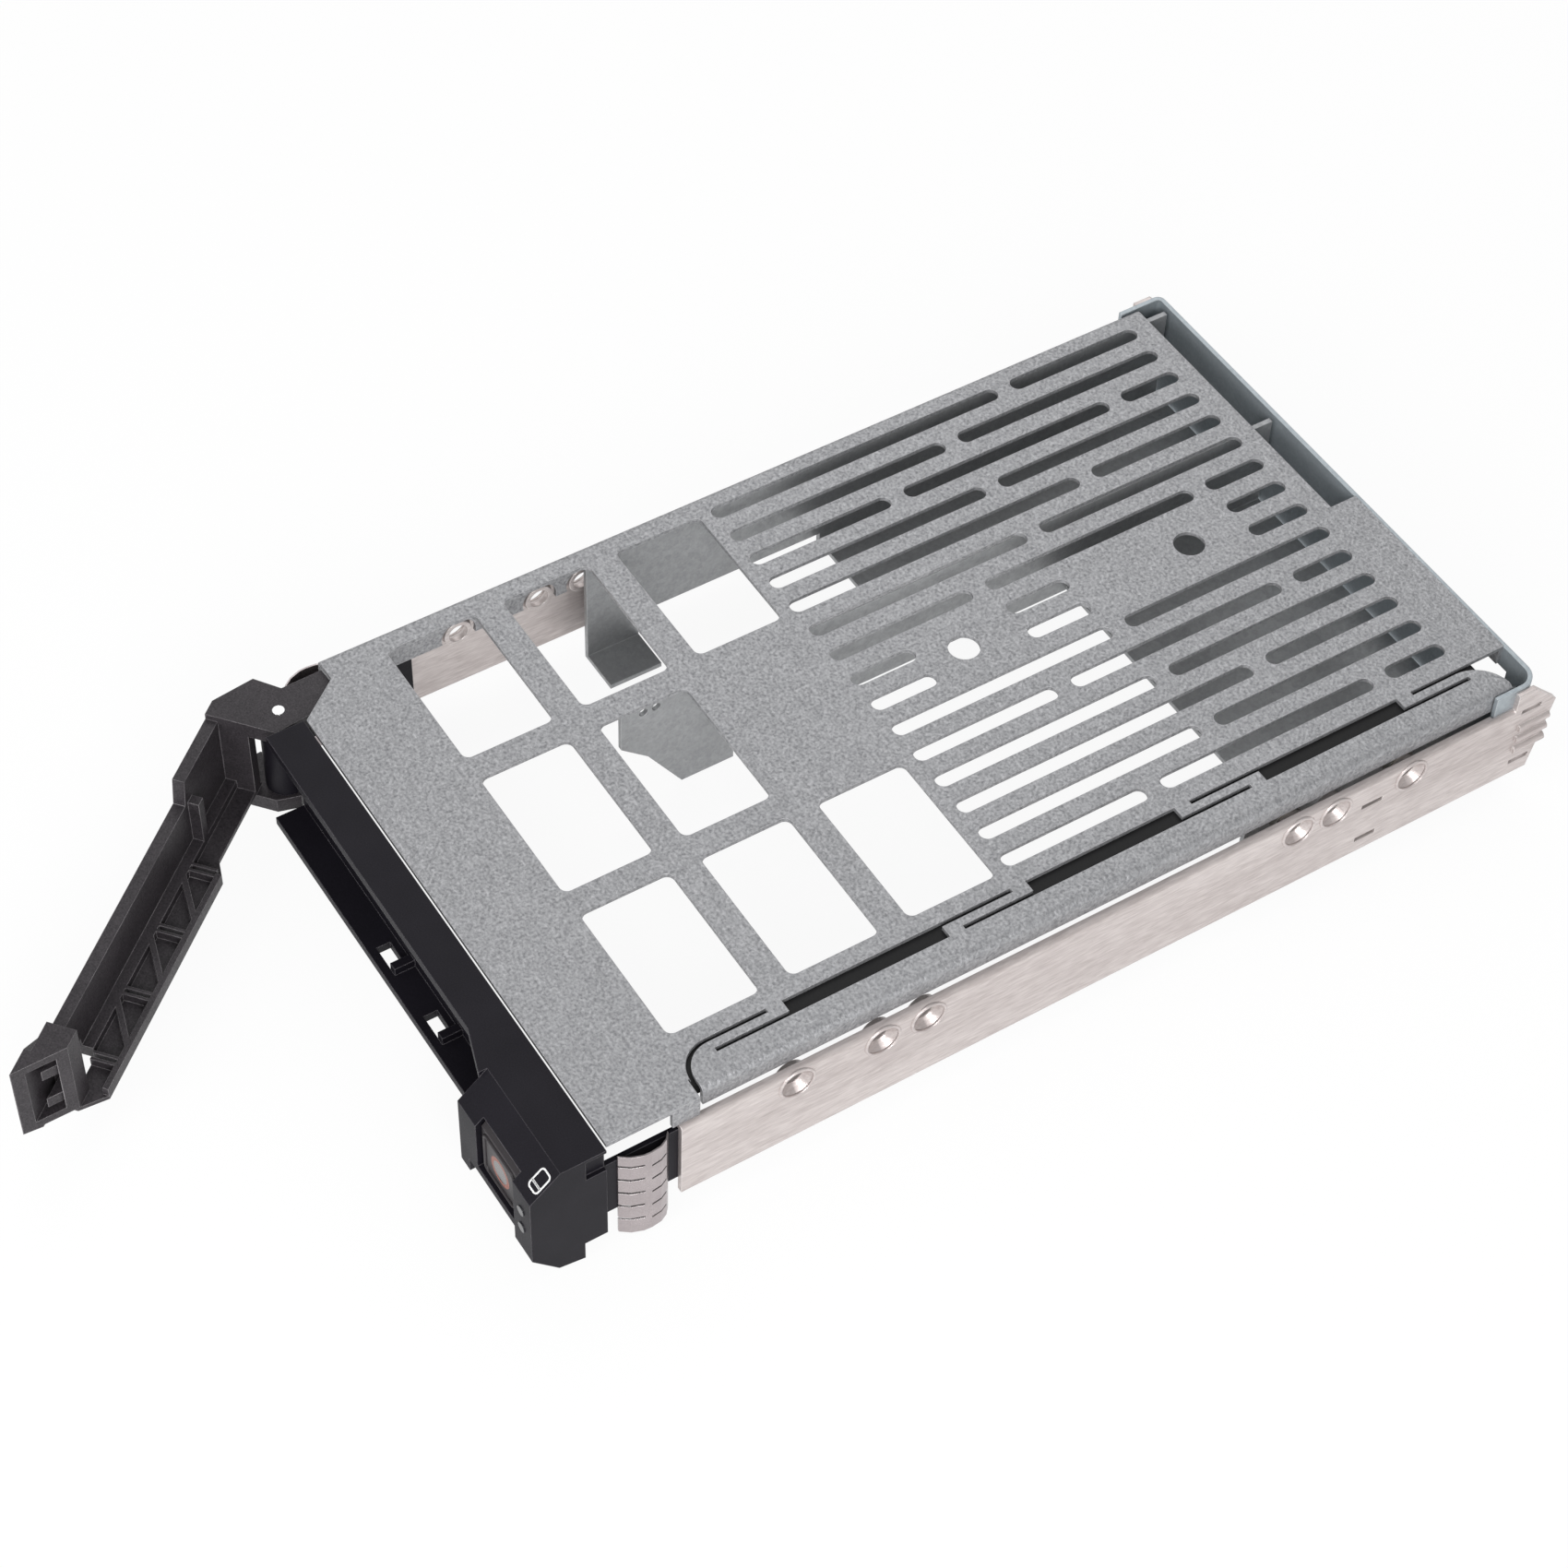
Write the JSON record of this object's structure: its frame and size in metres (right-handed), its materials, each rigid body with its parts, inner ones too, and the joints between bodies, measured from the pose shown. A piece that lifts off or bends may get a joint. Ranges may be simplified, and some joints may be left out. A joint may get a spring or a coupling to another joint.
{
  "type": "hot swap drive caddy",
  "caption": "Sheet-metal drive tray with a perforated top, side rails, a moulded front with a swing-out lever and release button, and an inner adapter bracket.",
  "frame": {"origin": "middle of the outer face of the perforated sheet", "axes": "+X to the right seen from the front, +Y from the front to the rear connector end, +Z out of the perforated sheet, which lies on top"},
  "size_m": [0.11, 0.2474, 0.0256],
  "materials": {
    "tray_steel": "satin galvanised, fine sandy grain",
    "rail_steel": "satin, lightly brushed along the rail",
    "wall_steel": "satin",
    "bracket_steel": "satin zinc plated",
    "nut_steel": "plain",
    "bezel_plastic": "fine moulded texture",
    "lever_plastic": "fine moulded texture",
    "pin_steel": "plain",
    "button_plastic": "fine moulded texture",
    "ring_plastic": "satin",
    "lens_plastic": "smooth",
    "spring_steel": "plain",
    "finger_steel": "bright nickel plated",
    "carrier_plastic": "moulded",
    "pipe_clear": "clear",
    "status_clear": "clear"
  },
  "bodies": {
    "caddy": {"tray_sheet": "tray_steel", "right_rail": "rail_steel", "left_rail": "rail_steel", "rear_wall": "wall_steel", "adapter_bracket": "bracket_steel", "adapter_nut_left_front": "nut_steel", "adapter_nut_left_rear": "nut_steel", "adapter_nut_right_front": "nut_steel", "adapter_nut_right_rear": "nut_steel", "bezel": "bezel_plastic", "lever_pin": "pin_steel", "button_spring": "spring_steel", "right_emi_spring": "finger_steel", "left_emi_spring": "finger_steel", "light_pipe_carrier": "carrier_plastic", "light_pipe_upper": "pipe_clear", "light_pipe_lower": "pipe_clear", "status_lens_upper": "status_clear", "status_lens_lower": "status_clear"},
    "lever": {"lever": "lever_plastic"},
    "button": {"release_button": "button_plastic", "button_ring": "ring_plastic", "button_lens": "lens_plastic"}
  },
  "joints": [
    {"name": "lever_swing", "type": "hinge", "parent": "caddy", "child": "lever", "pos_m": [-0.0461, -0.09, -0.011], "axis": [0, 0, 1], "range_deg": [0, 49.4]},
    {"name": "button_press", "type": "slide", "parent": "caddy", "child": "button", "axis": [0, 1, 0], "range_m": [0, 0.0018], "stiffness_N_per_m": 600, "deforming": ["button_spring"]}
  ]
}
